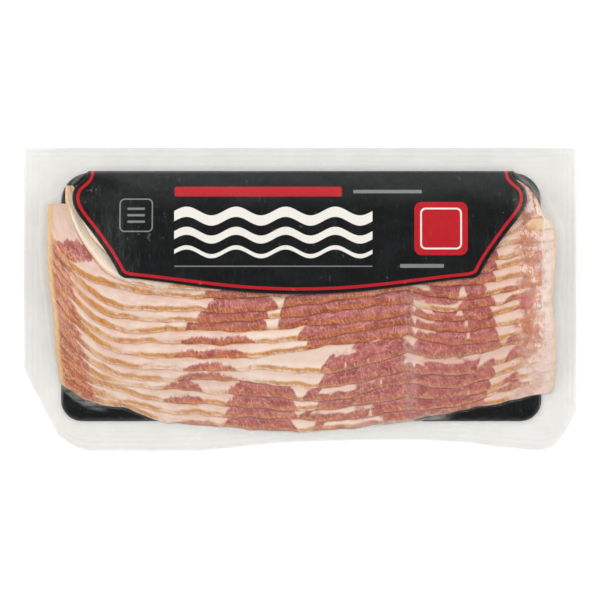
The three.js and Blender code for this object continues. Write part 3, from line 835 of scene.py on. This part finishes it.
def distance_to(path, x, y):
    """Distance from points to a polyline."""
    best = np.full(x.shape, 1e9)
    for (ax, ay), (bx, by) in zip(path[:-1], path[1:]):
        dx, dy = bx - ax, by - ay
        t = clamp(((x - ax) * dx + (y - ay) * dy) / max(dx * dx + dy * dy, 1e-9))
        best = np.minimum(best, np.hypot(x - ax - t * dx, y - ay - t * dy))
    return best


def build_card():
    """The card, in rows across it: up its back panel, round the fold and down the flap."""
    across = np.linspace(-1, 1, 231)
    half = flap_side()
    half_x, half_y = half[::-1].T
    low_edge = slice(0, LOW_EDGE_POINTS + 1)
    outer, inner, on_flap = [], [], []

    def add_row(x, y, z_out, z_in, flap, inset=0.0):
        outer.append(np.stack(np.broadcast_arrays(x, y, z_out), axis=-1))
        inner.append(np.stack(np.broadcast_arrays(x, y - inset, z_in), axis=-1))
        on_flap.append(np.full_like(x, flap))

    def add_back_row(inset, y):
        x = mix(CARD_LEFT + inset, CARD_RIGHT - inset, (across + 1) / 2)
        add_row(x, y, CARD_FLOOR, CARD_FLOOR + CARD, 0.0)

    for a in np.linspace(0, np.pi / 2, 9):
        add_back_row(CARD_CORNER * (1 - np.sin(a)), CARD_BOTTOM + CARD_CORNER * (1 - np.cos(a)))
    for a in np.linspace(0, np.pi / 2, 10)[:-1]:
        y = CARD_TOP - CARD - CARD_TOP_CORNER * (1 - np.sin(a))
        add_back_row(CARD_TOP_CORNER * (1 - np.cos(a)), y)

    # Round the fold the outside bulges a little.
    x = mix(CARD_LEFT + CARD_TOP_CORNER, CARD_RIGHT - CARD_TOP_CORNER, (across + 1) / 2)
    fold = flap_underside(x, np.full_like(x, CARD_TOP))
    for t in np.linspace(0, 1, 7):
        z_out, z_in = mix(CARD_FLOOR, fold + CARD, t), mix(CARD_FLOOR + CARD, fold, t)
        y = CARD_TOP + FOLD_BULGE * np.sin(np.pi * t)
        add_row(x, y, z_out, z_in, 1.0 if t > 0.4 else 0.0, inset=CARD)

    # Down the flap the rows bend more and more towards its low edge.
    last = LOW_CORNER_Y + 0.3
    for t in np.concatenate([[0.004, 0.02, 0.04], np.linspace(0.06, 0.9, 46), np.linspace(0.92, 1, 8)]):
        height = mix(CARD_TOP, last, t)
        reach_x = np.interp(height, half_y, half_x)
        along = np.abs(across) * reach_x
        low_y = np.interp(along, half_x[low_edge], half_y[low_edge])
        bow = np.where(along < LOW_EDGE_HALF, (LOW_EDGE_Y - low_y) / (LOW_EDGE_Y - LOW_MIDDLE_Y), 0)
        y = height - (last - LOW_MIDDLE_Y) * t**3 * clamp(bow)
        x = FLAP_MIDDLE + across * reach_x
        z_in = flap_underside(x, y) + flap_sag(x, y)
        add_row(x, y, flap_underside(x, y) + CARD + flap_sag(x, y), z_in, 1.0)

    outer, inner, on_flap = np.array(outer), np.array(inner), np.array(on_flap)
    middle = [FLAP_MIDDLE, 0]
    outline = np.concatenate([half * [-1, 1] + middle, (half + middle)[::-1]])
    print_edge = distance_to(outline, outer[..., 0], outer[..., 1]).ravel()
    points = slab_points(outer, inner)
    attributes = {
        "card": points,
        "edge": np.concatenate([print_edge, np.full(print_edge.size, 50.0)]),
        "front": np.concatenate([on_flap.ravel(), np.zeros(on_flap.size)]),
    }
    piece = make_mesh("printed_card", points, slab_faces(*on_flap.shape), attributes)
    piece.data.materials.append(PRINTED)
    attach(piece, "root")
    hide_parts("label_card")
    return piece


# The print. A bar is its middle, half its width and height, and the radius of its corners.
RED_LINE_INSET, RED_LINE_HALF = 2.9, 0.8
RED_SQUARE, RED_BAR = (74, 37, 14, 14, 4), (-22, 56.5, 44, 2.6, 1.2)
SQUARE_LINE, SQUARE_LINE_HALF = (74, 37, 10.5, 10.5, 2.5), 0.45
WAVE_ENDS = (-66, 38)
WAVES = ((43.5, 2.7), (33.5, 2.1), (24.8, 1.1))  # each one's middle height and half its width
WAVE_LENGTH, WAVE_SWING = 26, 2.3
BADGE_LINE, BADGE_LINE_HALF = (-86, 44, 8.5, 8.5, 2.5), 0.35
BADGE_BARS = [(-86, 44 + rise, 4.6, 0.6, 0.3) for rise in (-3.4, 0.0, 3.4)]
RULES = ((46, 56.5, 18, 0.9, 0.4), (-14, 17.2, 52, 0.3, 0.2), (64, 17.4, 11.5, 1.0, 0.5))
PRINT_SOFTNESS = 0.12


def card_material():
    """Near black coated card with a red line inside its edge, and plain shapes in red, cream and grey."""
    g = Graph(bpy.data.materials.new("printed_card"))
    place = g.attribute("card", "Vector")
    x, y, _ = g.split(place)
    front = g.step(g.attribute("front"), 0.4, 0.6)

    def bar(middle_x, middle_y, half_w, half_h, radius):
        """Signed distance to a bar with round corners."""
        dx = abs(x - middle_x) - (half_w - radius)
        dy = abs(y - middle_y) - (half_h - radius)
        outside = g.radius(g.highest(dx, 0), g.highest(dy, 0))
        return outside + g.math("MINIMUM", g.highest(dx, dy), 0) - radius

    def wave(middle_y, half_h):
        """A wavy stripe, cut off square at its ends."""
        left, right = WAVE_ENDS
        swing = g.math("SINE", (x - left) * (2 * np.pi / WAVE_LENGTH)) * WAVE_SWING
        stripe = abs(y - middle_y - swing) - half_h
        return g.highest(stripe, abs(x - (left + right) / 2) - (right - left) / 2)

    def printed(ground, distances, ink):
        masks = [g.step(distance, PRINT_SOFTNESS, -PRINT_SOFTNESS) * front for distance in distances]
        mask = masks[0]
        for other in masks[1:]:
            mask = g.highest(mask, other)
        return g.blend(mask, ground, ink)

    scuffs = g.noise(place, (0.05, 0.12, 0.05), detail=5, roughness=0.6)
    ground = g.blend(g.step(scuffs, 0.4, 0.75), srgb(6, 9, 10), srgb(18, 22, 23))
    red_line = abs(g.attribute("edge") - RED_LINE_INSET) - RED_LINE_HALF
    ground = printed(ground, [red_line, bar(*RED_SQUARE), bar(*RED_BAR)], srgb(186, 10, 28))
    square_line = abs(bar(*SQUARE_LINE)) - SQUARE_LINE_HALF
    ground = printed(ground, [wave(*each) for each in WAVES] + [square_line], srgb(236, 232, 224))
    badge_line = abs(bar(*BADGE_LINE)) - BADGE_LINE_HALF
    greys = [badge_line] + [bar(*each) for each in (*BADGE_BARS, *RULES)]
    ground = printed(ground, greys, srgb(128, 130, 126))

    handled = g.noise(place, (0.22, 0.06, 0.1), (4, 6, 1), detail=4)
    crinkle = g.noise(place, (0.16, 0.07, 0.1), detail=6, roughness=0.62)
    return g.finish(g.principled(
        Base_Color=ground,
        Roughness=g.step(handled, 0.3, 0.7, 0.5, 0.66),
        Specular_IOR_Level=0.3,
        Normal=g.bump(g.noise(place, 0.6, detail=4), 0.12, 0.0006),
        Coat_Weight=0.6,
        Coat_Roughness=0.12,
        Coat_Normal=g.bump(crinkle, 0.6, 0.002),
    ))


# ------ film bag

# The bag's lower edge, as pairs of x and y: cut corners and a shallow rise right of the middle.
BAG_BOTTOM = (
    (-146, -36), (-144.5, -40), (-141.5, -46.3), (-138, -52.7), (-135, -59), (-131.5, -65.4), (-128, -71.8),
    (-122, -76.4), (-117, -78.8), (-111, -80), (-53, -80), (-42, -79), (-32, -77.9), (-21, -76.9),
    (-10.6, -75.8), (0, -75.2), (16, -74.7), (32, -74.2), (64, -74.2), (74, -74.7), (85, -75.3),
    (95, -76.4), (106, -77.9), (116.6, -79), (127, -80), (134, -77.9), (139, -71.6), (143, -65.2),
    (146, -58.8),
)
BAG_CORNER = 1.6  # radius of the upper corners
RAY_HEIGHT = 0.05  # in metres, above the pack
COVERED = 0.2  # higher contents are under the film


def bag_top(x):
    into = clamp((np.abs(x) - POUCH_LENGTH / 2 + BAG_CORNER) / BAG_CORNER)
    return POUCH_WIDTH / 2 - BAG_CORNER * (1 - np.sqrt(clamp(1 - into**2)))


def contents_height(contents, x, y):
    """Height of the contents under each film point, by rays from above. The card is the first of them."""
    graph = bpy.context.evaluated_depsgraph_get()
    trees = [BVHTree.FromObject(piece, graph) for piece in contents]
    heights = np.zeros(x.size)
    down = Vector((0, 0, -1))
    for k, (px, py) in enumerate(zip(x.ravel() * MM, y.ravel() * MM)):
        start = Vector((px, py, RAY_HEIGHT))
        for tree in trees:
            hit = tree.ray_cast(start, down)[0]
            if hit is not None:
                heights[k] = max(heights[k], hit.z / MM)
                if tree is not trees[0]:  # the slices come from the top, so the first hit is the highest
                    break
    return heights.reshape(x.shape)


def neighbours(h):
    """The sum of each point's four neighbours."""
    p = np.pad(h, 1, mode="edge")
    return p[:-2, 1:-1] + p[2:, 1:-1] + p[1:-1, :-2] + p[1:-1, 2:]


def spread(h):
    """The highest of each point and its neighbours."""
    p = np.pad(h, 1, mode="edge")
    rows, columns = h.shape
    return np.max([p[i : i + rows, j : j + columns] for i in range(3) for j in range(3)], axis=0)


def build_bag(contents):
    """A front web that a vacuum draws down over the contents, and a flat back web."""
    columns = int(POUCH_LENGTH / FILM_STEP) + 1
    rows = int(POUCH_WIDTH / FILM_STEP) + 1
    half = POUCH_LENGTH / 2
    xs = np.linspace(-half, half, columns)
    t = np.linspace(0, 1, rows)
    x = np.repeat(xs[:, None], rows, axis=1)
    y = mix(follow(BAG_BOTTOM, xs)[:, None], bag_top(xs)[:, None], t[None, :])
    under = contents_height(contents, x, y)
    lift = MARGIN_LIFT * smooth((np.abs(x) - 124) / 22) * smooth((np.abs(y) - 30) / 50)
    wave = 0.12 * np.sin(x / 9 + y / 23) ** 2
    rest_on = np.where(under > COVERED, spread(under) + FILM_CLEARANCE, lift + wave + SEALED_FILM)
    film = rest_on.copy()
    for _ in range(DRAWING_STEPS):
        mean = (neighbours(film) + 2 * film) / 6
        film = np.maximum(rest_on, mean - VACUUM * FILM_STEP**2)
    inside = (under > COVERED).astype(float)
    for _ in range(2):
        inside = (neighbours(inside) + inside) / 5
    back = np.minimum(lift + wave, film - SEALED_FILM) + BACK_CLEARANCE
    points = slab_points(np.stack([x, y, film], axis=-1), np.stack([x, y, back], axis=-1))
    attributes = {
        "film": points,
        "inside": on_both(inside),
        "below": on_both(lower_edge(SLICE_COUNT, x) - y),
        "margin": on_both(np.minimum(half - np.abs(x), np.minimum(y - y[:, :1], y[:, -1:] - y))),
    }
    piece = make_mesh("film_bag", points, slab_faces(columns, rows), attributes)
    piece.data.materials.append(FILM)
    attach(piece, "root")
    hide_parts("film_pouch")


SEAL_LINES = 2.9  # spacing of the faint lines in the sealed margin
END_STREAK_X = 127.8
CREASE_STREAK_X = 58.5


def contents_haze(g, place, clouds, below, pleats, over_ends, upright):
    """Haze of the film over the contents, with painted highlights on its wrinkles and bubbles."""
    x, y, _ = g.split(place)
    # painted sheen: faint milky streaks stand in for highlights on the film's wrinkles
    painted_wrinkle_sheen = g.noise(place, (0.1, 0.035, 0.05), (3, 1, 7), detail=6, roughness=0.7)
    painted_wrinkle_sheen = g.step(painted_wrinkle_sheen, 0.55, 0.78)

    # The film stands clear along the lowest slice's edge.
    streaks = g.noise(place, (0.12, 0.5, 0.1), (9, 4, 2), detail=5, roughness=0.65)
    ragged = below + g.centred(streaks, 2.5)
    bridged = g.step(x, 20, 42) * g.step(x, 84, 66) + g.step(x, -100, -108) * 0.45
    bridged = bridged * (g.step(ragged, -3, 0.5) * g.step(ragged, 4.5, 2.5))
    clear_of = bridged * g.step(streaks, 0.34, 0.62, 0.1, 0.45)

    # Over the right end it is veiled and pleated, with one long streak.
    veil = g.step(x, 110, 120) * g.step(upright, 0.38, 0.65, 0, 0.12)
    veil = (veil + g.step(x, 126, 130) * g.step(upright, 0.3, 0.7, 0.04, 0.22)) * over_ends
    wander = g.centred(g.noise(place, (0.02, 0.09, 0.1), (1, 2, 3), detail=3), 5)
    streak = g.near(x + wander, END_STREAK_X, 1.6, 0.2) * (g.step(y, -14, -6) * g.step(y, 60, 50))
    crease = g.near(x + wander, CREASE_STREAK_X, 5.5, 1) * g.step(upright, 0.35, 0.6, 0.3, 1)
    crease = crease * g.step(below, 1, -3) * g.step(y, 8, -2)

    # painted glints: small milky spots stand in for highlights on bubbles in the film
    painted_bubble_glints = g.step(g.noise(place, (0.5, 0.32, 0.3), (8, 3, 6)), 0.66, 0.74)
    painted_bubble_glints = painted_bubble_glints * g.step(clouds, 0.42, 0.58, 0.2, 1)
    haze = painted_wrinkle_sheen * 0.006 + (painted_bubble_glints * 0.07 + clear_of)
    return haze + (veil + (pleats * 0.08 + streak * 0.28)) + crease * 0.11


def film_material():
    """Clear film, which mirrors a little, and is milky where two webs meet and where it stands clear."""
    g = Graph(bpy.data.materials.new("clear_film"))
    place = g.attribute("film", "Vector")
    x, _, _ = g.split(place)
    inside, below, margin = g.attribute("inside"), g.attribute("below"), g.attribute("margin")
    clouds = g.noise(place, (0.035, 0.035, 0.035), detail=5, roughness=0.6)
    lines = g.math("SINE", margin * (2 * np.pi / SEAL_LINES) + clouds * 9)
    lines = g.step(lines, 0, 1) * g.step(margin, 12, 3)
    upright = g.noise(place, (0.2, 0.05, 0.1), (5, 2, 7), detail=3, roughness=0.6, distortion=0.8)
    over_ends = g.step(below, 1, -3) * g.step(x, 138, 134)
    pleats = g.noise(place, (0.45, 0.05, 0.1), (2, 5, 3), detail=3, distortion=1.2)
    pleats = g.step(pleats, 0.52, 0.68) * g.step(x, 119, 127) * over_ends
    haze_outside = g.step(clouds, 0.3, 0.7, 0.15, 0.21) + lines * 0.02
    haze_inside = contents_haze(g, place, clouds, below, pleats, over_ends, upright)
    haze = haze_outside * (1 - inside) + haze_inside * inside

    wrinkle = g.noise(place, (0.09, 0.05, 0.1), detail=6, roughness=0.6)
    bump = g.bump(wrinkle + lines * 0.04 + pleats * 0.25, 0.3, 0.002)
    milk = g.principled(Base_Color=srgb(240, 238, 230), Roughness=0.3, Normal=bump)
    gloss = g.node("BsdfGlossy", {"Roughness": 0.12, "Normal": bump})
    mirrored = g.math("POWER", g.node("LayerWeight", output="Facing"), 4) * 0.6 + 0.03
    seen = g.node("MixShader", {0: haze, 1: g.node("BsdfTransparent"), 2: milk})
    return g.finish(g.node("MixShader", {0: mirrored, 1: seen, 2: gloss}))


# ------ studio

FRAME_WIDTH = 318  # what the picture spans, in mm
PACK_MIDDLE_Y = -0.5  # where the camera looks
LENS = 200
SENSOR = 36
FLOOR_RADIUS = 1250

# Soft boxes: name, place and size in metres, watts, and whether gloss shows them.
LIGHTS = (
    ("left_box", (-1.2, 0.2, 0.8), (0.8, 1.2), 6.2, True),
    ("right_box", (1.2, 0.2, 0.8), (0.8, 1.2), 5.4, True),
    ("back_box", (0.0, 1.3, 0.8), (1.4, 0.6), 5.2, False),
    ("front_box", (0.0, -1.5, 0.55), (1.6, 0.4), 3.5, True),
    ("overhead", (0.0, 0.1, 2.4), (2.4, 2.4), 31, False),
)
# How the world's strength falls as a ray turns up.
WORLD_FADE = {"From Min": 0.45, "From Max": 0.85, "To Min": 0.75, "To Max": 0.04}


def build_camera():
    data = bpy.data.cameras.new("camera")
    data.lens = LENS
    data.sensor_width = SENSOR
    data.clip_end = 20
    camera = bpy.data.objects.new("camera", data)
    camera.location = (0, PACK_MIDDLE_Y * MM, FRAME_WIDTH * MM * LENS / SENSOR)
    bpy.context.scene.collection.objects.link(camera)
    bpy.context.scene.camera = camera


def build_light(name, place, size, power, mirrored):
    """A soft box that faces the pack."""
    data = bpy.data.lights.new(name, "AREA")
    data.shape = "RECTANGLE"
    data.size, data.size_y = size
    data.energy = power
    light = bpy.data.objects.new(name, data)
    light.location = place
    light.visible_glossy = mirrored
    light.rotation_euler = (Vector((0, 0, 0)) - Vector(place)).to_track_quat("-Z", "Y").to_euler()
    bpy.context.scene.collection.objects.link(light)


def build_floor():
    g = Graph(bpy.data.materials.new("studio_floor"))
    fleck = g.noise(None, 3.0)
    tint = g.blend(g.step(fleck, 0.3, 0.7), (0.93, 0.93, 0.93, 1), (0.95, 0.95, 0.95, 1))
    turns = np.linspace(0, 2 * np.pi, 120, endpoint=False)
    rim = [(FLOOR_RADIUS * np.cos(a), FLOOR_RADIUS * np.sin(a), 0) for a in turns]
    floor = make_mesh("studio_floor", rim, [list(range(len(rim)))])
    floor.data.materials.append(g.finish(g.principled(Base_Color=tint, Roughness=0.9)))


def build_world():
    """White all round, and dark overhead so that the black card stays black."""
    g = Graph(bpy.data.worlds.new("world"), "OutputWorld")
    _, _, height = g.split(g.node("TexCoord", output="Generated"))
    strength = g.node("MapRange", {"Value": height, **WORLD_FADE})
    bpy.context.scene.world = g.finish(g.node("Background", {0: (1, 1, 1, 1), 1: strength}))
    bpy.context.scene.view_settings.view_transform = "Standard"


# ------ the pack

BACON = bacon_material()
PRINTED = card_material()
FILM = film_material()

build_camera()
build_floor()
for light in LIGHTS:
    build_light(*light)
build_world()
card = build_card()
slices = [build_slice(n) for n in range(1, SLICE_COUNT + 1)]
build_bag([card] + slices)
